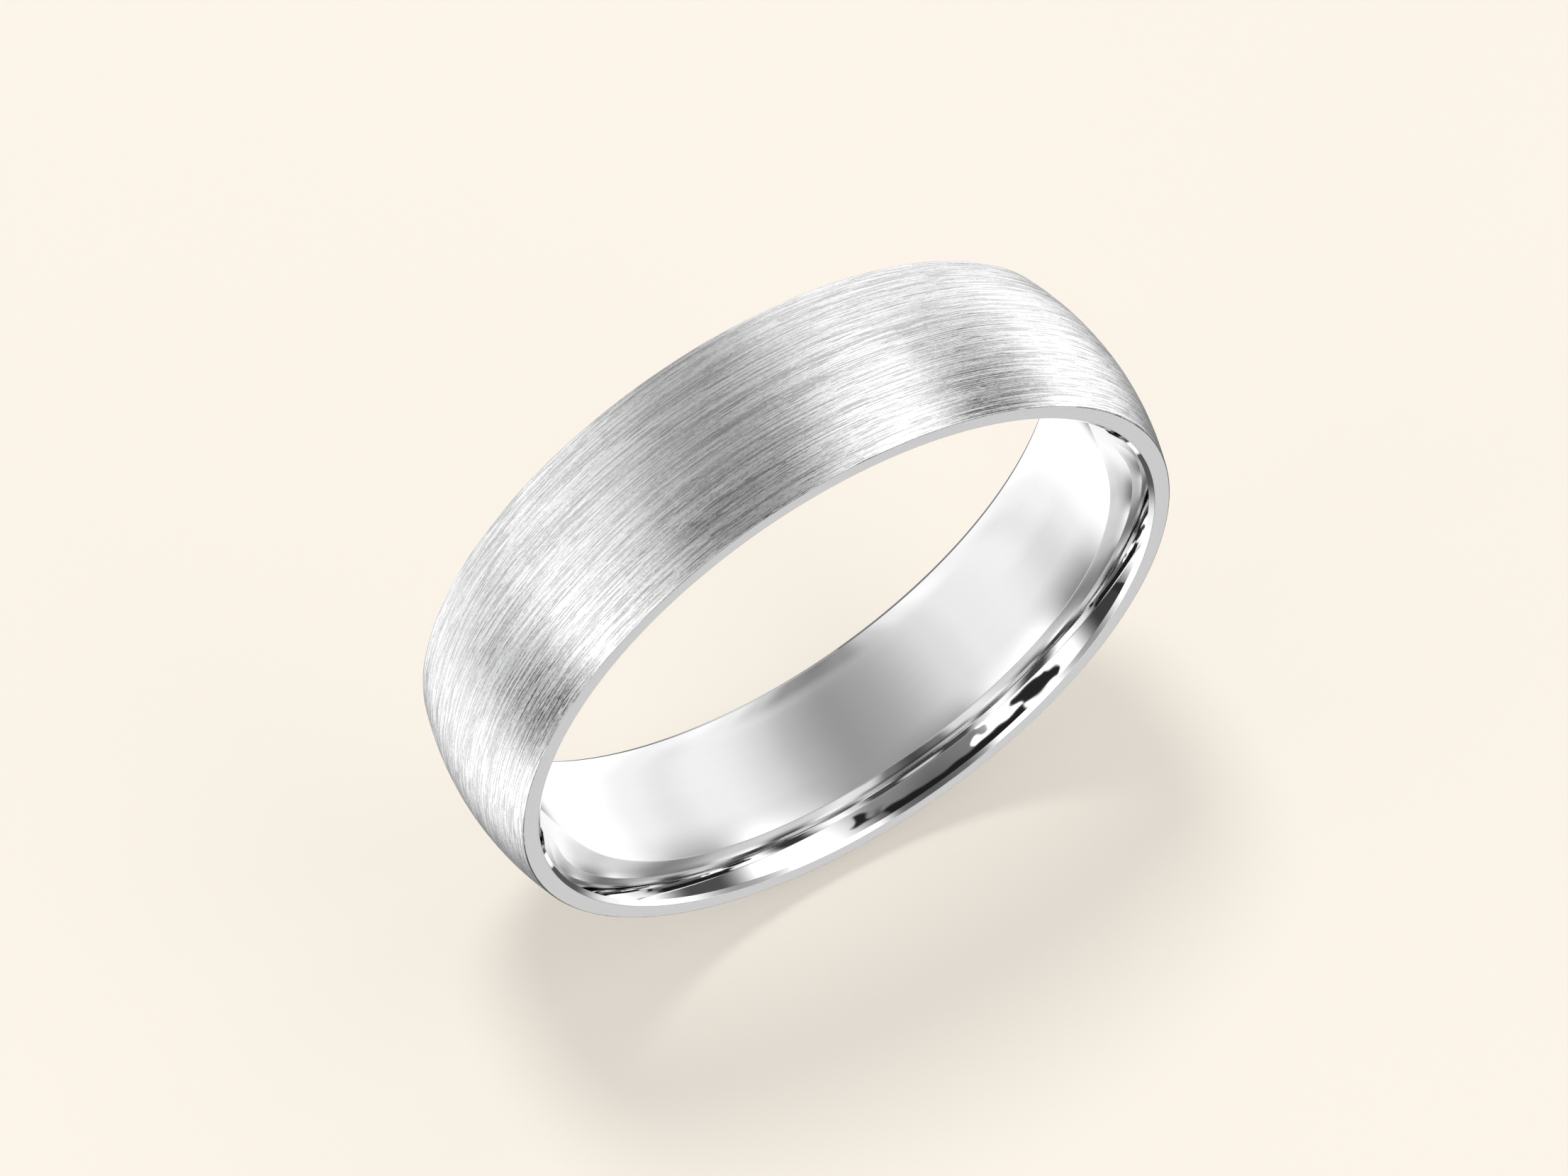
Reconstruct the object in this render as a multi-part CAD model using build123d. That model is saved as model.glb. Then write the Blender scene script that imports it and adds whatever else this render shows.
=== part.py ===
"""A plain wedding band: one turned ring of white precious metal with a domed outside and a comfort-fit bore.

The ring stands on its rim with its bore along Y, and the origin is the centre of the bore.
Every surface is a surface of revolution, so the model is one cross-section, drawn with its radius
along X and its width along Y, turned once round the Y axis.  All sizes are in millimetres.
"""

from build123d import *
import os

# Driving dimensions
FINGER_DIAMETER = 20.8  # narrowest place of the bore, which sets the finger size
BAND_WIDTH = 6.0  # from one side face to the other
CROWN_THICKNESS = 1.55  # wall in the middle of the width, from the bore to the top of the dome
LAND_LENGTH = 1.0  # short straight land in the middle of the bore
COMFORT_RADIUS = 10.0  # shallow curve on each side of the land
COMFORT_WIDTH = 3.6  # how much of the width the land and its two shallow curves take
MOUTH_FLARE = 0.5  # how much further out the bore is at a side face than on the land
FACE_HEIGHT = 0.54  # radial height of the side face, its rounded outer edge included
BORE_BEVEL = 0.13  # polished bevel between a shoulder and the side face
RIM_BREAK = 0.06  # rounding between the side face and the dome

# Places that follow from them
finger_radius = FINGER_DIAMETER / 2
mouth_radius = finger_radius + MOUTH_FLARE
rim_radius = mouth_radius + FACE_HEIGHT
crown_radius = finger_radius + CROWN_THICKNESS
half_width = BAND_WIDTH / 2
half_land = LAND_LENGTH / 2
half_comfort = COMFORT_WIDTH / 2


def curve_rise():
    """How much further out the bore is at the end of a shallow curve than on the land."""
    run = half_comfort - half_land
    return COMFORT_RADIUS - (COMFORT_RADIUS**2 - run**2) ** 0.5


def bore_edges():
    """The bore at +Y, from the land outwards: a shallow curve, a tighter shoulder tangent to it, and a bevel."""
    land_end = Vector(finger_radius, half_land)
    comfort_end = Vector(finger_radius + curve_rise(), half_comfort)
    bevel_start = Vector(mouth_radius - BORE_BEVEL, half_width - BORE_BEVEL)
    comfort_curve = TangentArc(land_end, comfort_end, tangent=(0, 1))
    shoulder = TangentArc(comfort_end, bevel_start, tangent=comfort_curve % 1)
    bevel = Line(bevel_start, (mouth_radius, half_width))
    return [comfort_curve, shoulder, bevel]


def cross_section():
    """The wall of the ring as a face in the XY plane: X is the radius and Y runs along the bore."""
    land = Line((finger_radius, -half_land), (finger_radius, half_land))
    side_face = Line((mouth_radius, half_width), (rim_radius, half_width))
    one_side = [*bore_edges(), side_face]
    other_side = [edge.mirror(Plane.XZ) for edge in one_side]
    dome = ThreePointArc((rim_radius, half_width), (crown_radius, 0), (rim_radius, -half_width))
    section = make_face(Wire([land, *one_side, dome, *other_side]))

    rims = section.vertices().filter_by(lambda corner: abs(corner.X - rim_radius) < RIM_BREAK / 2)
    return fillet(rims, RIM_BREAK)


def band():
    """The whole ring, turned from its cross-section."""
    ring = revolve(cross_section(), Axis.Y, 360)
    ring.label = "band"
    return ring


os.makedirs("parts", exist_ok=True)
export_step(band(), "parts/band.step")
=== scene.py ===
"""A plain wedding band of white precious metal, turned in one piece.

The band stands on its rim with its bore along Y. The outside is a low dome brushed round the band, the side
faces are flat and satin, and the bore is polished, with a comfort curve and a bright bevel at each mouth.
"""

import math

import bpy
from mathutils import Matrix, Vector


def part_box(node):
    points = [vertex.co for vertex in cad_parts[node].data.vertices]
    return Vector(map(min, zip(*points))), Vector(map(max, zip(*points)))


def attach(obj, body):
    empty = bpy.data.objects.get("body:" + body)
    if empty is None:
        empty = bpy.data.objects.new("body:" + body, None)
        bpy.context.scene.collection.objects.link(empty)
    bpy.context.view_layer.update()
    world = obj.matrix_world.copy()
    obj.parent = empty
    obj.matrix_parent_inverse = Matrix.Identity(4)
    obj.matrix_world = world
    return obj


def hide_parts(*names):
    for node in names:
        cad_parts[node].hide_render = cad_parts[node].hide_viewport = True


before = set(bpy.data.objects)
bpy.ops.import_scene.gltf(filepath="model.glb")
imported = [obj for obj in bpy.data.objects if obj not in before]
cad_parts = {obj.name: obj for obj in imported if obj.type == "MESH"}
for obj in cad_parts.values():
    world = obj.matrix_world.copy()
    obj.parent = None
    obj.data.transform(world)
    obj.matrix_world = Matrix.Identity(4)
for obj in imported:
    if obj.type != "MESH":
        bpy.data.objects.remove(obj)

bl_info = {
    "name": "Wedding Band",
    "version": (1, 0, 0),
    "blender": (4, 5, 0),
    "location": "View3D > Sidebar > Wedding Band",
    "description": "Turns a domed, brushed wedding band and sets a pale studio round it",
    "category": "Object",
}

MM = 0.001
JOIN_DISTANCE = 0.0005 * MM  # points nearer to each other than this are one point
WORN_GUARD = 0.6  # share of a worn corner's radius from the corner to the guard point on each side
RIM_GUARD = 0.3  # share of the rim rounding's radius from the rounding to the guard point on each side

FLOOR_SIZE = 6.0
LAMP_PLACE = Vector((0.0, 0.41, 1.13))  # the lamp shines from here towards the band
LAMP_SPREAD = math.radians(16.0)
AIM_RIGHT, AIM_UP = -0.431 * MM, 0.161 * MM  # the point the camera looks at, from the middle of the band

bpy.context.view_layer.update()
band_low, band_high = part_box("band")


# ---------------------------------------------------------------------------------------------------------
# Properties
# ---------------------------------------------------------------------------------------------------------


class BandSizes(bpy.types.PropertyGroup):
    crown_radius: bpy.props.FloatProperty(
        name="Crown radius", description="Outside radius at the top of the dome",
        default=band_high.z, min=0.005, max=0.02, precision=5, unit="LENGTH",
    )
    half_width: bpy.props.FloatProperty(
        name="Half width", description="Half of the band's width along the finger",
        default=band_high.y, min=0.0005, max=0.01, precision=5, unit="LENGTH",
    )
    rim_radius: bpy.props.FloatProperty(
        name="Rim radius", description="Radius where the dome would meet the side face",
        default=11.44 * MM, min=0.005, max=0.02, precision=5, unit="LENGTH",
    )
    rim_break: bpy.props.FloatProperty(
        name="Rim rounding", description="Small radius between the dome and the side face",
        default=0.06 * MM, min=0.00001, max=0.001, precision=6, unit="LENGTH",
    )
    mouth_radius: bpy.props.FloatProperty(
        name="Mouth radius", description="Radius of the bore's mouth, at the side face",
        default=10.9 * MM, min=0.005, max=0.02, precision=5, unit="LENGTH",
    )
    mouth_bevel: bpy.props.FloatProperty(
        name="Mouth bevel", description="Leg of the bright bevel round the bore's mouth",
        default=0.13 * MM, min=0.00001, max=0.001, precision=6, unit="LENGTH",
    )
    bore_radius: bpy.props.FloatProperty(
        name="Bore radius", description="Smallest radius of the bore, half of the finger size",
        default=10.4 * MM, min=0.005, max=0.02, precision=5, unit="LENGTH",
    )
    half_land: bpy.props.FloatProperty(
        name="Half land", description="Half of the straight land in the middle of the bore",
        default=0.5 * MM, min=0.0, max=0.005, precision=5, unit="LENGTH",
    )
    half_comfort: bpy.props.FloatProperty(
        name="Half comfort width", description="Half of the width up to the end of the comfort curve",
        default=1.8 * MM, min=0.0, max=0.005, precision=5, unit="LENGTH",
    )
    comfort_curve: bpy.props.FloatProperty(
        name="Comfort curve", description="Radius of the comfort curve on each side of the land",
        default=10.0 * MM, min=0.001, max=0.1, precision=5, unit="LENGTH",
    )
    worn_edge: bpy.props.FloatProperty(
        name="Worn edge", description="Tiny radius that polishing leaves on the bevel's edges",
        default=0.018 * MM, min=0.000001, max=0.0001, precision=6, unit="LENGTH",
    )
    turn_steps: bpy.props.IntProperty(
        name="Steps round", description="Faces round the band", default=480, min=64, max=720,
    )


class BandFinish(bpy.types.PropertyGroup):
    metal_colour: bpy.props.FloatVectorProperty(
        name="Metal", description="Colour of the white metal", subtype="COLOR",
        size=4, default=(0.72, 0.72, 0.72, 1.0), min=0.0, max=1.0,
    )
    brushed_roughness: bpy.props.FloatProperty(
        name="Brushed roughness", description="Roughness of the brushed dome",
        default=0.31, min=0.0, max=1.0, subtype="FACTOR",
    )
    brushed_spread: bpy.props.FloatProperty(
        name="Brushed spread", description="How much more the dome spreads light across its brush lines",
        default=0.65, min=0.0, max=1.0, subtype="FACTOR",
    )
    brush_line: bpy.props.FloatProperty(
        name="Brush line", description="Width of the finest brush lines",
        default=0.03 * MM, min=0.000001, max=0.001, precision=6, unit="LENGTH",
    )
    brush_length: bpy.props.FloatProperty(
        name="Brush length", description="Length of a brush line round the band",
        default=4.5 * MM, min=0.0001, max=0.02, precision=5, unit="LENGTH",
    )
    satin_roughness: bpy.props.FloatProperty(
        name="Satin roughness", description="Roughness of the flat side faces",
        default=0.3, min=0.0, max=1.0, subtype="FACTOR",
    )
    polish_roughness: bpy.props.FloatProperty(
        name="Polished roughness", description="Roughness of the polished bore",
        default=0.03, min=0.0, max=1.0, subtype="FACTOR",
    )


class StageSettings(bpy.types.PropertyGroup):
    floor_colour: bpy.props.FloatVectorProperty(
        name="Floor", description="Colour of the pale floor", subtype="COLOR",
        size=4, default=(0.40, 0.372, 0.335, 1.0), min=0.0, max=1.0,
    )
    backdrop_colour: bpy.props.FloatVectorProperty(
        name="Backdrop", description="Colour seen past the floor's edge", subtype="COLOR",
        size=4, default=(0.973, 0.905, 0.815, 1.0), min=0.0, max=1.0,
    )
    room_strength: bpy.props.FloatProperty(
        name="Room light", description="Strength of the soft light from all round", default=1.25, min=0.0,
    )
    lamp_strength: bpy.props.FloatProperty(
        name="Lamp", description="Strength of the overhead soft lamp, which draws the shadow",
        default=1.75, min=0.0,
    )
    fill_strength: bpy.props.FloatProperty(
        name="Fill", description="Strength of the shadowless light on the floor", default=3.43, min=0.0,
    )
    view_azimuth: bpy.props.FloatProperty(
        name="View azimuth", description="Which side the camera looks from",
        default=math.radians(-31.1), subtype="ANGLE", unit="ROTATION",
    )
    view_elevation: bpy.props.FloatProperty(
        name="View elevation", description="How high the camera stands",
        default=math.radians(58.9), subtype="ANGLE", unit="ROTATION",
    )
    view_distance: bpy.props.FloatProperty(
        name="View distance", description="How far away the camera stands",
        default=0.327, min=0.05, subtype="DISTANCE", unit="LENGTH",
    )
    view_lens: bpy.props.FloatProperty(
        name="Lens", description="Focal length of the camera in millimetres", default=247.2, min=10.0,
    )


# ---------------------------------------------------------------------------------------------------------
# The section of the band
# ---------------------------------------------------------------------------------------------------------


def arc(centre, radius, start, end, steps):
    """Points (along, out) on an arc; angles are measured from outwards towards +Y."""
    turned = [start + (end - start) * i / steps for i in range(steps + 1)]
    return [Vector((centre[0] + radius * math.sin(a), centre[1] + radius * math.cos(a))) for a in turned]


def worn_corner(before, corner, after, radius, steps=4):
    """A corner between two straight runs, rounded by a small radius, with a guard point on each run."""
    into = (corner - before).normalized()
    out = (after - corner).normalized()
    half_turn = into.angle(out) / 2
    leg = radius * math.tan(half_turn)
    first = corner - into * leg
    side = 1.0 if into.x * out.y - into.y * out.x > 0 else -1.0
    centre = first + Vector((-into.y, into.x)) * side * radius
    arm = first - centre
    points = [first - into * radius * WORN_GUARD]
    for i in range(steps + 1):
        turn = side * 2 * half_turn * i / steps
        cos, sin = math.cos(turn), math.sin(turn)
        points.append(centre + Vector((arm.x * cos - arm.y * sin, arm.x * sin + arm.y * cos)))
    points.append(points[-1] + out * radius * WORN_GUARD)
    return points


def half_section(sizes):
    """Points (along, out) from the middle of the bore, round the +Y side, to the crown of the dome."""
    # Comfort curve: it leaves the land without a corner.
    comfort_turn = math.asin((sizes.half_comfort - sizes.half_land) / sizes.comfort_curve)
    comfort_centre = (sizes.half_land, sizes.bore_radius + sizes.comfort_curve)
    comfort = arc(comfort_centre, sizes.comfort_curve, math.pi, math.pi - comfort_turn, 8)

    # Shoulder: one arc from the comfort curve's end, in line with it, to the start of the bevel.
    start = comfort[-1]
    bevel_start = Vector((sizes.half_width - sizes.mouth_bevel, sizes.mouth_radius - sizes.mouth_bevel))
    chord = bevel_start - start
    shoulder_turn = 2 * (math.atan2(chord.y, chord.x) - comfort_turn)
    shoulder_radius = chord.length / (2 * math.sin(shoulder_turn / 2))
    shoulder_centre = (
        start.x - shoulder_radius * math.sin(comfort_turn),
        start.y + shoulder_radius * math.cos(comfort_turn),
    )
    shoulder_end = math.pi - comfort_turn - shoulder_turn
    shoulder = arc(shoulder_centre, shoulder_radius, math.pi - comfort_turn, shoulder_end, 12)

    # Bevel and flat side face, with their worn corners.
    mouth = Vector((sizes.half_width, sizes.mouth_radius))
    face_out = Vector((sizes.half_width, sizes.rim_radius))
    inner_corner = worn_corner(shoulder[-2], bevel_start, mouth, sizes.worn_edge)
    outer_corner = worn_corner(bevel_start, mouth, face_out, sizes.worn_edge)

    # Rim rounding and dome.
    rise = sizes.crown_radius - sizes.rim_radius
    dome_radius = (sizes.half_width ** 2 + rise ** 2) / (2 * rise)
    dome_centre = (0.0, sizes.crown_radius - dome_radius)
    rim_along = sizes.half_width - sizes.rim_break
    rim_out = dome_centre[1] + math.sqrt((dome_radius - sizes.rim_break) ** 2 - rim_along ** 2)
    dome_turn = math.atan2(rim_along, rim_out - dome_centre[1])
    guard = Vector((sizes.half_width, rim_out - sizes.rim_break * RIM_GUARD))
    rim = arc((rim_along, rim_out), sizes.rim_break, math.pi / 2, dome_turn, 6)
    dome = arc(dome_centre, dome_radius, dome_turn, 0.0, 14)
    guard_turn = dome_turn - RIM_GUARD * sizes.rim_break / dome_radius
    dome_guard = arc(dome_centre, dome_radius, guard_turn, guard_turn, 1)[:1]

    middle = [Vector((0.0, sizes.bore_radius))]
    return (
        middle + comfort + shoulder[1:-1] + inner_corner + outer_corner
        + [guard] + rim + dome_guard + dome[1:]
    )


def full_section(sizes):
    """The closed section, once round, starting in the middle of the bore."""
    half = half_section(sizes)
    other = [Vector((-p.x, p.y)) for p in reversed(half[1:-1])]
    return half + other


# ---------------------------------------------------------------------------------------------------------
# Small helpers for modelling and for nodes
# ---------------------------------------------------------------------------------------------------------


def deselect_everything():
    bpy.ops.object.select_all(action="DESELECT")


def select_faces(mesh, wanted):
    """In edit mode, selects the faces whose (centre, normal) wanted() accepts."""
    bpy.ops.mesh.select_all(action="DESELECT")
    bpy.ops.object.mode_set(mode="OBJECT")
    for face in mesh.polygons:
        face.select = wanted(face.center, face.normal)
    bpy.ops.object.mode_set(mode="EDIT")


def add_node(tree, kind, **settings):
    node = tree.nodes.new(kind)
    for name, value in settings.items():
        setattr(node, name, value)
    return node


def set_input(node, name, value):
    node.inputs[name].default_value = value


def math_node(tree, operation, first, second=None, third=None, clamp=False):
    """A Math node; each input is a number or a socket."""
    node = add_node(tree, "ShaderNodeMath", operation=operation, use_clamp=clamp)
    for i, value in enumerate((first, second, third)):
        if value is None:
            continue
        if isinstance(value, (int, float)):
            node.inputs[i].default_value = value
        else:
            tree.links.new(value, node.inputs[i])
    return node.outputs[0]


def map_range(tree, value, from_low, from_high, to_low, to_high, kind="LINEAR"):
    node = add_node(tree, "ShaderNodeMapRange", interpolation_type=kind)
    tree.links.new(value, node.inputs["Value"])
    node.inputs["From Min"].default_value = from_low
    node.inputs["From Max"].default_value = from_high
    node.inputs["To Min"].default_value = to_low
    node.inputs["To Max"].default_value = to_high
    return node.outputs["Result"]


def fade_in(tree, value, start, end):
    """0 before start, 1 after end, with a smooth step between."""
    return map_range(tree, value, start, end, 0.0, 1.0, "SMOOTHSTEP")


def fade_out(tree, value, start, end):
    """1 before start, 0 after end, with a smooth step between."""
    return map_range(tree, value, start, end, 1.0, 0.0, "SMOOTHSTEP")


def weighted_sum(tree, parts, total=None):
    """The parts, each a (socket, weight), added up on top of total."""
    for socket, weight in parts:
        if total is None:
            total = math_node(tree, "MULTIPLY", socket, weight)
        else:
            total = math_node(tree, "MULTIPLY_ADD", socket, weight, total)
    return total


def even_noise(tree, coordinates, size, detail):
    """Noise whose marks are about as long as they are wide."""
    noise = add_node(tree, "ShaderNodeTexNoise", noise_dimensions="3D")
    set_input(noise, "Scale", 1 / size)
    set_input(noise, "Detail", detail)
    tree.links.new(coordinates, noise.inputs["Vector"])
    return noise.outputs["Fac"]


def stretched_noise(tree, coordinates, round_length, line_width, detail=2.0, roughness=0.55, shift=0.0):
    """Noise drawn out round the band: round_length is a mark's length, and line_width its width."""
    mapping = add_node(tree, "ShaderNodeMapping")
    mapping.inputs["Location"].default_value = (shift, shift * 0.7, -shift)
    mapping.inputs["Scale"].default_value = (1 / round_length, 1 / line_width, 1 / round_length)
    tree.links.new(coordinates, mapping.inputs["Vector"])
    noise = add_node(tree, "ShaderNodeTexNoise", noise_dimensions="3D")
    set_input(noise, "Scale", 1.0)
    set_input(noise, "Detail", detail)
    set_input(noise, "Roughness", roughness)
    tree.links.new(mapping.outputs["Vector"], noise.inputs["Vector"])
    return noise.outputs["Fac"]


def new_material(name):
    material = bpy.data.materials.new(name)
    material.use_nodes = True
    tree = material.node_tree
    tree.nodes.clear()
    output = add_node(tree, "ShaderNodeOutputMaterial")
    shader = add_node(tree, "ShaderNodeBsdfPrincipled")
    tree.links.new(shader.outputs["BSDF"], output.inputs["Surface"])
    set_input(shader, "Metallic", 1.0)
    return material, tree, shader


def scaled(colour, share):
    return (colour[0] * share, colour[1] * share, colour[2] * share, 1.0)


def shade_metal(tree, shader, share, metal, darkest, lightest):
    """Colours the shader from darkest to lightest, both as shares of the metal's colour."""
    mix = add_node(tree, "ShaderNodeMix", data_type="RGBA")
    mix.inputs["A"].default_value = scaled(metal, darkest)
    mix.inputs["B"].default_value = scaled(metal, lightest)
    tree.links.new(share, mix.inputs["Factor"])
    tree.links.new(mix.outputs["Result"], shader.inputs["Base Color"])


def add_bump(tree, shader, height, depth):
    bump = add_node(tree, "ShaderNodeBump")
    set_input(bump, "Strength", 1.0)
    set_input(bump, "Distance", depth)
    tree.links.new(height, bump.inputs["Height"])
    tree.links.new(bump.outputs["Normal"], shader.inputs["Normal"])


# ---------------------------------------------------------------------------------------------------------
# Finishes
# ---------------------------------------------------------------------------------------------------------

# Brushed dome.
BRUSH_SWAY, BRUSH_SWAY_LENGTH = 0.03 * MM, 9.0 * MM  # how far the lines wander, and over what length
BRUSH_DEPTH = 0.02 * MM
BRUSH_DARKEST, BRUSH_LIGHTEST = 0.7, 1.28  # colours of the lines, as shares of the metal's colour
BRUSH_SMOOTHER, BRUSH_ROUGHER = 0.13, 0.11  # how far the lines' roughness lies from the middle
QUARTER_TURN = 0.25

# Satin side faces.
TURNING_MARK_WIDTH = 0.03 * MM
SATIN_GRAIN_SIZE = 0.12 * MM
SATIN_DEPTH = 0.0003 * MM
SATIN_UNEVEN = 0.04  # how far the roughness lies from the middle, either way

# Polished bore.
HAZE_SIZE = 2.5 * MM
HAIRLINE_LENGTH, HAIRLINE_WIDTH = 3.0 * MM, 0.05 * MM
HAIRLINE_DEPTH = 0.00001 * MM


def swayed_coordinates(tree, amount, length):
    """Object coordinates that wander a little along the finger, so that brush lines aren't all parallel."""
    place = add_node(tree, "ShaderNodeTexCoord").outputs["Object"]
    uneven = stretched_noise(tree, place, length, length * 0.5, detail=1.0)
    sway = math_node(tree, "MULTIPLY", math_node(tree, "SUBTRACT", uneven, 0.5), amount)
    shift = add_node(tree, "ShaderNodeCombineXYZ")
    tree.links.new(sway, shift.inputs["Y"])
    moved = add_node(tree, "ShaderNodeVectorMath", operation="ADD")
    tree.links.new(place, moved.inputs[0])
    tree.links.new(shift.outputs["Vector"], moved.inputs[1])
    return moved.outputs["Vector"]


def brushed_metal(finish):
    """Metal brushed round the band: long fine lines, short deeper scratches and a fine grain."""
    material, tree, shader = new_material("brushed_white_metal")
    line, length = finish.brush_line, finish.brush_length
    place = swayed_coordinates(tree, BRUSH_SWAY, BRUSH_SWAY_LENGTH)
    fine = stretched_noise(tree, place, length, line, detail=1.0, roughness=0.6)
    medium = stretched_noise(tree, place, length * 1.2, line * 2.5, detail=1.0, shift=11.0)
    broad = stretched_noise(tree, place, length * 1.4, line * 6.0, detail=1.0, shift=23.0)
    deep = stretched_noise(tree, place, length * 0.25, line * 1.1, detail=0.0, shift=51.0)
    scratch = map_range(tree, deep, 0.60, 0.67, 0.0, 1.0)
    grain = stretched_noise(tree, place, line * 5.0, line, detail=2.0, roughness=0.7, shift=77.0)
    speckle = map_range(tree, grain, 0.3, 0.7, -1.0, 1.0)

    # The share is 0 in the darkest lines and 1 in the lightest.
    lines = weighted_sum(tree, ((fine, 0.66), (medium, 0.22), (broad, 0.12)))
    share = map_range(tree, lines, 0.38, 0.59, 0.0, 1.0)
    share = weighted_sum(tree, ((speckle, 0.4),), share)
    share = math_node(tree, "MULTIPLY_ADD", scratch, -0.9, share, clamp=True)

    # The light lines scatter most and the dark ones are the smoothest, so that the lines show in a dim
    # reflection and fade in a bright one.
    shade_metal(tree, shader, share, finish.metal_colour, BRUSH_DARKEST, BRUSH_LIGHTEST)
    smoothest = finish.brushed_roughness - BRUSH_SMOOTHER
    roughest = finish.brushed_roughness + BRUSH_ROUGHER
    tree.links.new(map_range(tree, share, 0.0, 1.0, smoothest, roughest), shader.inputs["Roughness"])
    height = weighted_sum(tree, ((scratch, -0.3), (grain, 0.15)), lines)
    add_bump(tree, shader, height, BRUSH_DEPTH)

    # With its tangent round the band, a quarter turn makes the shader spread light across the brush lines.
    set_input(shader, "Anisotropic", finish.brushed_spread)
    set_input(shader, "Anisotropic Rotation", QUARTER_TURN)
    tangent = add_node(tree, "ShaderNodeTangent", direction_type="RADIAL", axis="Y")
    tree.links.new(tangent.outputs["Tangent"], shader.inputs["Tangent"])
    return material


def satin_metal(finish):
    """Metal faced on the lathe: even and satin, with very faint turning marks."""
    material, tree, shader = new_material("satin_white_metal")
    place = add_node(tree, "ShaderNodeTexCoord").outputs["Object"]
    parts = add_node(tree, "ShaderNodeSeparateXYZ")
    tree.links.new(place, parts.inputs["Vector"])
    across, up = parts.outputs["X"], parts.outputs["Z"]
    squares = math_node(tree, "MULTIPLY_ADD", up, up, math_node(tree, "MULTIPLY", across, across))
    out = math_node(tree, "SQRT", squares)
    rings = add_node(tree, "ShaderNodeTexNoise", noise_dimensions="1D")
    set_input(rings, "Scale", 1.0)
    set_input(rings, "Detail", 2.0)
    tree.links.new(math_node(tree, "MULTIPLY", out, 1 / TURNING_MARK_WIDTH), rings.inputs["W"])
    grain = even_noise(tree, place, SATIN_GRAIN_SIZE, 2.0)

    mark = weighted_sum(tree, ((rings.outputs["Fac"], 0.6), (grain, 0.4)))
    share = map_range(tree, mark, 0.35, 0.65, 0.0, 1.0)
    shade_metal(tree, shader, share, finish.metal_colour, 0.97, 1.02)
    smoothest, roughest = finish.satin_roughness - SATIN_UNEVEN, finish.satin_roughness + SATIN_UNEVEN
    tree.links.new(map_range(tree, mark, 0.3, 0.7, smoothest, roughest), shader.inputs["Roughness"])
    add_bump(tree, shader, mark, SATIN_DEPTH)
    return material


def polished_metal(finish):
    """Mirror-polished metal with the faint haze and hairlines that buffing and wear leave."""
    material, tree, shader = new_material("polished_white_metal")
    place = add_node(tree, "ShaderNodeTexCoord").outputs["Object"]
    haze = even_noise(tree, place, HAZE_SIZE, 3.0)
    hairs = stretched_noise(tree, place, HAIRLINE_LENGTH, HAIRLINE_WIDTH, detail=2.0, shift=7.0)

    share = map_range(tree, hairs, 0.35, 0.65, 0.0, 1.0)
    shade_metal(tree, shader, share, finish.metal_colour, 1.01, 1.025)
    smoothest, roughest = finish.polish_roughness * 0.7, finish.polish_roughness * 1.4
    tree.links.new(map_range(tree, haze, 0.35, 0.65, smoothest, roughest), shader.inputs["Roughness"])
    add_bump(tree, shader, hairs, HAIRLINE_DEPTH)
    return material


# ---------------------------------------------------------------------------------------------------------
# The room that the metal reflects
# ---------------------------------------------------------------------------------------------------------

# A direction in the room is an angle round the band's axis, in degrees from the room's own top, and a rise
# towards the back (+Y), in degrees. The room is turned by this much from straight up:
ROOM_TURN = 17.3

# Brightness by angle, as (degrees either side of the top, brightness).
FRONT_LIGHT = (
    (0, 0.1), (18, 0.2), (38, 1.3), (60, 1.9), (84, 0.9),
    (104, 1.45), (120, 1.5), (131, 1.0), (145, 0.1), (180, 0.04),
)
BACK_LIGHT = (
    (0, 0.6), (30, 0.8), (42, 0.9), (70, 0.96), (84, 0.88),
    (100, 0.98), (125, 1.2), (145, 1.05), (160, 0.25), (180, 0.1),
)
FAR_BACK_LIGHT = (
    (0, 0.22), (16, 0.33), (32, 0.68), (46, 0.92), (64, 1.08),
    (84, 1.0), (110, 1.05), (140, 0.95), (160, 0.35), (180, 0.2),
)
FAR_BACK_TURN = 16.0  # the far back light is turned by this much more
BACK_STARTS = (4.0, 22.0)  # rise over which the front light gives way to the back light
FAR_BACK_STARTS = (46.0, 60.0)  # rise over which the back light gives way to the far back light

# Cards, as (from angle, to angle, from rise, to rise, half the width of the soft edge, brightness).
SOFT_CARDS = (
    (-8, 36, -4, 60, 26.0, 0.33),
    (67, 101, -50, 16, 12.0, 0.08),
    (-101, -67, -50, 19, 12.0, 0.05),
    (-36, 18, -66, -32, 8.0, 0.12),
)
SHARP_CARDS = (
    (-38, 20, -36, -13.5, 1.5, 0.015),
    (-37, -21, -13, -2, 1.0, 1.6),
    (-53, -38, -15, -4, 1.0, 0.02),
    (20, 27, -14, -6, 1.0, 0.02),
    (-96, -88, -8, -1, 1.0, 0.03),
)
CARD_WANDER = (9.0, 4.0)  # how unevenly the sharp cards are cut, by angle and by rise

# A light grey panel low in front.
PANEL_STARTS = (160.0, 172.0)  # degrees either side of the top, over which the panel begins
PANEL_RISE = -26.0  # rise of the panel's middle line
PANEL_EDGE = (8.0, 16.0)  # degrees from the middle line, over which the panel ends
PANEL_BRIGHTNESS = 0.85

# Straight in front and straight behind, the room is one plain grey.
ENDS_START = (70.0, 82.0)  # rise either way, over which the grey begins
ENDS_BRIGHTNESS = 0.7


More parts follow.
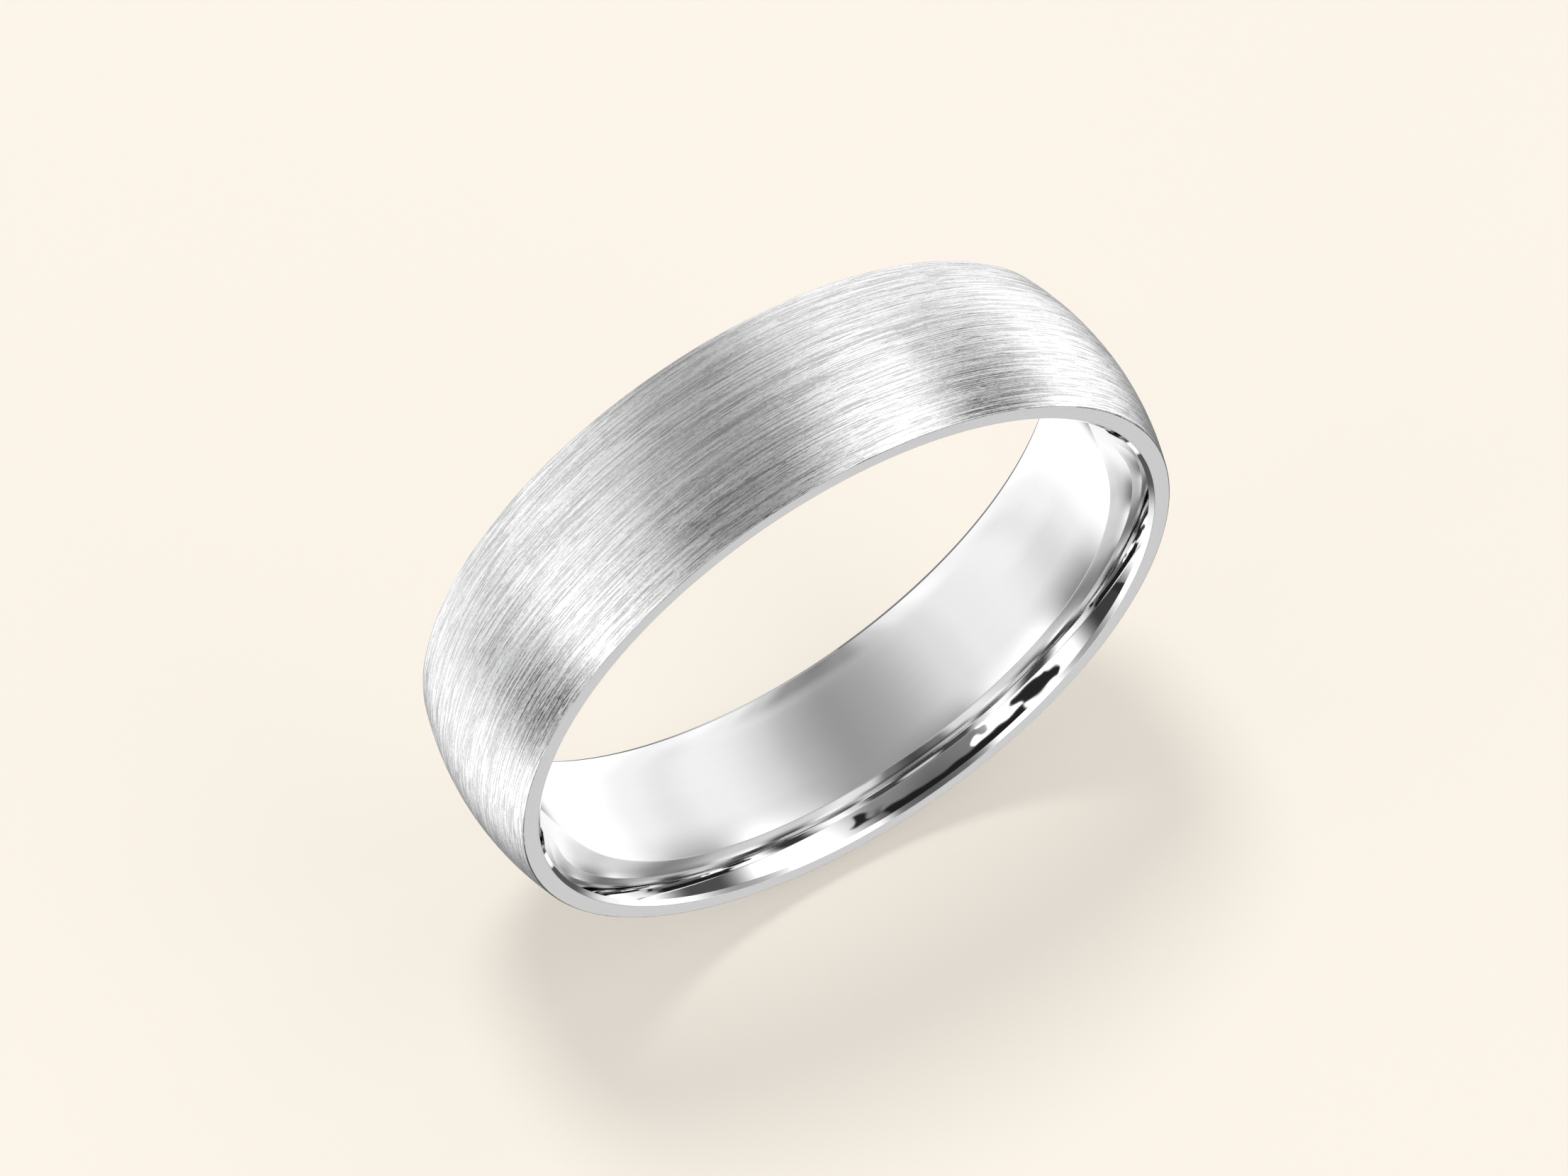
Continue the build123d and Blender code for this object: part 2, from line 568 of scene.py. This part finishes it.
def radiance_ramp(tree, angle, stops):
    """Brightness by angle, as a smooth ramp that is the same on both sides of angle 0."""
    share = math_node(tree, "DIVIDE", math_node(tree, "ABSOLUTE", angle), 180.0)
    ramp = add_node(tree, "ShaderNodeValToRGB")
    ramp.color_ramp.interpolation = "EASE"
    elements = ramp.color_ramp.elements
    while len(elements) < len(stops):
        elements.new(0.5)
    for element, (degrees, value) in zip(elements, stops):
        element.position = degrees / 180
        element.color = (value, value, value, 1.0)
    tree.links.new(share, ramp.inputs["Fac"])
    return ramp.outputs["Color"]


def blend_light(tree, share, under, over):
    """Brightness over, laid on brightness under by a share from 0 to 1."""
    mix = add_node(tree, "ShaderNodeMix", data_type="RGBA")
    tree.links.new(share, mix.inputs["Factor"])
    tree.links.new(under, mix.inputs["A"])
    if isinstance(over, (int, float)):
        mix.inputs["B"].default_value = (over, over, over, 1.0)
    else:
        tree.links.new(over, mix.inputs["B"])
    return mix.outputs["Result"]


def lay_cards(tree, room, angle, rise, cards):
    """The room with each card laid on it in turn."""
    for from_angle, to_angle, from_rise, to_rise, edge, brightness in cards:
        sides = []
        for place, low, high in ((angle, from_angle, to_angle), (rise, from_rise, to_rise)):
            starts = fade_in(tree, place, low - edge, low + edge)
            ends = fade_out(tree, place, high - edge, high + edge)
            sides.append(math_node(tree, "MULTIPLY", starts, ends))
        share = math_node(tree, "MULTIPLY", sides[0], sides[1])
        room = blend_light(tree, share, room, brightness)
    return room


def uneven(tree, direction, value, reach, shift):
    """The value with a smooth uneven number added, never more than reach either way."""
    moved = add_node(tree, "ShaderNodeVectorMath", operation="ADD")
    moved.inputs[1].default_value = (shift, shift, shift)
    tree.links.new(direction, moved.inputs[0])
    noise = add_node(tree, "ShaderNodeTexNoise", noise_dimensions="3D")
    set_input(noise, "Scale", 7.0)
    set_input(noise, "Detail", 0.0)
    tree.links.new(moved.outputs["Vector"], noise.inputs["Vector"])
    either_way = math_node(tree, "SUBTRACT", noise.outputs["Fac"], 0.5)
    return math_node(tree, "ADD", value, math_node(tree, "MULTIPLY", either_way, reach * 2.0))


def room_light(settings):
    """A soft room: bright panels each side of a darker gap overhead, dark cards in front and at each side."""
    world = bpy.data.worlds.new("soft_room")
    world.use_nodes = True
    tree = world.node_tree
    tree.nodes.clear()
    output = add_node(tree, "ShaderNodeOutputWorld")
    generated = add_node(tree, "ShaderNodeTexCoord").outputs["Generated"]
    turned = add_node(tree, "ShaderNodeVectorRotate", rotation_type="Y_AXIS")
    turned.inputs["Angle"].default_value = math.radians(ROOM_TURN)
    tree.links.new(generated, turned.inputs["Vector"])
    direction = turned.outputs["Vector"]
    parts = add_node(tree, "ShaderNodeSeparateXYZ")
    tree.links.new(direction, parts.inputs["Vector"])
    angle = math_node(tree, "DEGREES", math_node(tree, "ARCTAN2", parts.outputs["X"], parts.outputs["Z"]))
    rise = math_node(tree, "DEGREES", math_node(tree, "ARCSINE", parts.outputs["Y"]))

    front = radiance_ramp(tree, angle, FRONT_LIGHT)
    back = radiance_ramp(tree, angle, BACK_LIGHT)
    far_back = radiance_ramp(tree, math_node(tree, "SUBTRACT", angle, FAR_BACK_TURN), FAR_BACK_LIGHT)
    room = blend_light(tree, fade_in(tree, rise, *BACK_STARTS), front, back)
    room = blend_light(tree, fade_in(tree, rise, *FAR_BACK_STARTS), room, far_back)

    # The near side face reflects the low panel as one plain tone.
    underneath = fade_in(tree, math_node(tree, "ABSOLUTE", angle), *PANEL_STARTS)
    from_panel = math_node(tree, "ABSOLUTE", math_node(tree, "SUBTRACT", rise, PANEL_RISE))
    panel = math_node(tree, "MULTIPLY", underneath, fade_out(tree, from_panel, *PANEL_EDGE))
    room = blend_light(tree, panel, room, PANEL_BRIGHTNESS)

    # The sharp cards' edges are uneven, so that no reflection of one is a plain box.
    room = lay_cards(tree, room, angle, rise, SOFT_CARDS)
    card_angle = uneven(tree, direction, angle, CARD_WANDER[0], 0.0)
    card_rise = uneven(tree, direction, rise, CARD_WANDER[1], 5.0)
    room = lay_cards(tree, room, card_angle, card_rise, SHARP_CARDS)

    # All the angles meet at the two ends of the band's axis, and the plain grey hides that.
    ends = fade_in(tree, math_node(tree, "ABSOLUTE", rise), *ENDS_START)
    room = blend_light(tree, ends, room, ENDS_BRIGHTNESS)

    # The metal reflects the room, and the camera sees a plain backdrop instead.
    lit = add_node(tree, "ShaderNodeBackground")
    set_input(lit, "Strength", settings.room_strength)
    tree.links.new(room, lit.inputs["Color"])
    seen = add_node(tree, "ShaderNodeBackground")
    set_input(seen, "Color", settings.backdrop_colour)
    mix = add_node(tree, "ShaderNodeMixShader")
    path = add_node(tree, "ShaderNodeLightPath")
    tree.links.new(path.outputs["Is Camera Ray"], mix.inputs["Fac"])
    tree.links.new(lit.outputs["Background"], mix.inputs[1])
    tree.links.new(seen.outputs["Background"], mix.inputs[2])
    tree.links.new(mix.outputs["Shader"], output.inputs["Surface"])
    return world


# ---------------------------------------------------------------------------------------------------------
# Operators
# ---------------------------------------------------------------------------------------------------------


class BAND_OT_turn(bpy.types.Operator):
    """Turn the band from its section and give each zone its finish"""

    bl_idname = "band.turn"
    bl_label = "Turn Band"
    bl_options = {"REGISTER", "UNDO"}

    def execute(self, context):
        sizes = context.scene.band_sizes
        finish = context.scene.band_finish
        section = full_section(sizes)

        # A small plane is merged to one point, and the section is drawn from it point by point.
        deselect_everything()
        bpy.ops.mesh.primitive_plane_add(size=sizes.rim_break, location=(0.0, 0.0, 0.0))
        band = context.object
        band.name = "band_turned"
        band.data.name = "band_turned"
        bpy.ops.object.mode_set(mode="EDIT")
        bpy.ops.mesh.merge(type="CENTER")
        bpy.ops.mesh.select_all(action="SELECT")
        bpy.ops.transform.translate(value=(0.0, section[0].x, section[0].y))
        for before, after in zip(section, section[1:] + section[:1]):
            step = after - before
            bpy.ops.mesh.extrude_vertices_move(TRANSFORM_OT_translate={"value": (0.0, step.x, step.y)})
        bpy.ops.mesh.select_all(action="SELECT")
        bpy.ops.mesh.remove_doubles(threshold=JOIN_DISTANCE)

        bpy.ops.mesh.select_all(action="SELECT")
        bpy.ops.mesh.spin(
            steps=sizes.turn_steps, angle=2 * math.pi, center=(0.0, 0.0, 0.0), axis=(0.0, 1.0, 0.0)
        )
        bpy.ops.mesh.select_all(action="SELECT")
        bpy.ops.mesh.remove_doubles(threshold=JOIN_DISTANCE)
        bpy.ops.mesh.normals_make_consistent(inside=False)

        # Finishes: brushed all over, then the side faces satin and the bore and its bevels polished.
        for material in (brushed_metal(finish), satin_metal(finish), polished_metal(finish)):
            band.data.materials.append(material)
        mouth_end = sizes.mouth_radius + 0.001 * MM

        def on_side_face(centre, normal):
            return abs(normal.y) > 0.99 and math.hypot(centre.x, centre.z) > sizes.mouth_radius

        def inside_mouth(centre, normal):
            return math.hypot(centre.x, centre.z) < mouth_end and not on_side_face(centre, normal)

        for slot_index, zone in ((1, on_side_face), (2, inside_mouth)):
            select_faces(band.data, zone)
            band.active_material_index = slot_index
            bpy.ops.object.material_slot_assign()
        bpy.ops.object.mode_set(mode="OBJECT")
        bpy.ops.object.shade_smooth()

        if len(band.data.polygons) != len(section) * sizes.turn_steps:
            raise RuntimeError("the turned band is not one closed skin")
        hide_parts("band")
        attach(band, "root")
        return {"FINISHED"}


class BAND_OT_stage(bpy.types.Operator):
    """Lay a pale floor, light it softly and place the camera"""

    bl_idname = "band.stage"
    bl_label = "Set Stage"
    bl_options = {"REGISTER", "UNDO"}

    def execute(self, context):
        scene = context.scene
        settings = scene.stage_settings

        deselect_everything()
        bpy.ops.mesh.primitive_plane_add(size=FLOOR_SIZE, location=(0.0, 0.0, band_low.z))
        floor = context.object
        floor.name = "pale_floor"
        material = bpy.data.materials.new("pale_paper")
        material.use_nodes = True
        paper = material.node_tree.nodes["Principled BSDF"]
        set_input(paper, "Base Color", settings.floor_colour)
        set_input(paper, "Roughness", 0.9)
        set_input(paper, "Specular IOR Level", 0.0)
        floor.data.materials.append(material)
        floor.visible_glossy = False

        scene.world = room_light(settings)

        # A wide soft lamp above and a little behind draws the shadow, and a shadowless fill lifts the floor.
        # The metal reflects neither, nor the floor.
        deselect_everything()
        bpy.ops.object.light_add(type="SUN", location=LAMP_PLACE)
        lamp = context.object
        lamp.name = "overhead_soft_lamp"
        lamp.data.angle = LAMP_SPREAD
        lamp.data.energy = settings.lamp_strength
        lamp.rotation_euler = LAMP_PLACE.to_track_quat("Z", "Y").to_euler()
        lamp.visible_glossy = False

        deselect_everything()
        bpy.ops.object.light_add(type="SUN", location=(0.0, 0.0, 1.0))
        fill = context.object
        fill.name = "floor_fill"
        fill.data.energy = settings.fill_strength
        fill.data.use_shadow = False
        fill.visible_glossy = False

        deselect_everything()
        azimuth, elevation = settings.view_azimuth, settings.view_elevation
        back = Vector((
            math.sin(azimuth) * math.cos(elevation),
            -math.cos(azimuth) * math.cos(elevation),
            math.sin(elevation),
        ))
        right = Vector((0.0, 0.0, 1.0)).cross(back).normalized()
        up = back.cross(right)
        aim = right * AIM_RIGHT + up * AIM_UP
        bpy.ops.object.camera_add(location=aim + back * settings.view_distance)
        camera = context.object
        camera.name = "studio_camera"
        camera.rotation_euler = back.to_track_quat("Z", "Y").to_euler()
        camera.data.lens = settings.view_lens
        camera.data.sensor_width = 36.0
        camera.data.clip_start = 0.01
        camera.data.clip_end = 50.0
        scene.camera = camera
        scene.view_settings.view_transform = "Standard"
        return {"FINISHED"}


class BAND_PT_panel(bpy.types.Panel):
    """The steps that make the wedding band"""

    bl_label = "Wedding Band"
    bl_idname = "BAND_PT_panel"
    bl_space_type = "VIEW_3D"
    bl_region_type = "UI"
    bl_category = "Wedding Band"

    def draw(self, context):
        scene = context.scene
        self.layout.operator(BAND_OT_turn.bl_idname)
        self.layout.operator(BAND_OT_stage.bl_idname)
        for group in (scene.band_sizes, scene.band_finish, scene.stage_settings):
            box = self.layout.box()
            for name in group.__annotations__:
                box.prop(group, name)


CLASSES = (BandSizes, BandFinish, StageSettings, BAND_OT_turn, BAND_OT_stage, BAND_PT_panel)


def register():
    for cls in CLASSES:
        bpy.utils.register_class(cls)
    bpy.types.Scene.band_sizes = bpy.props.PointerProperty(type=BandSizes)
    bpy.types.Scene.band_finish = bpy.props.PointerProperty(type=BandFinish)
    bpy.types.Scene.stage_settings = bpy.props.PointerProperty(type=StageSettings)


def unregister():
    del bpy.types.Scene.stage_settings
    del bpy.types.Scene.band_finish
    del bpy.types.Scene.band_sizes
    for cls in reversed(CLASSES):
        bpy.utils.unregister_class(cls)


def main():
    register()
    bpy.ops.band.turn()
    bpy.ops.band.stage()


if __name__ == "__main__":
    main()
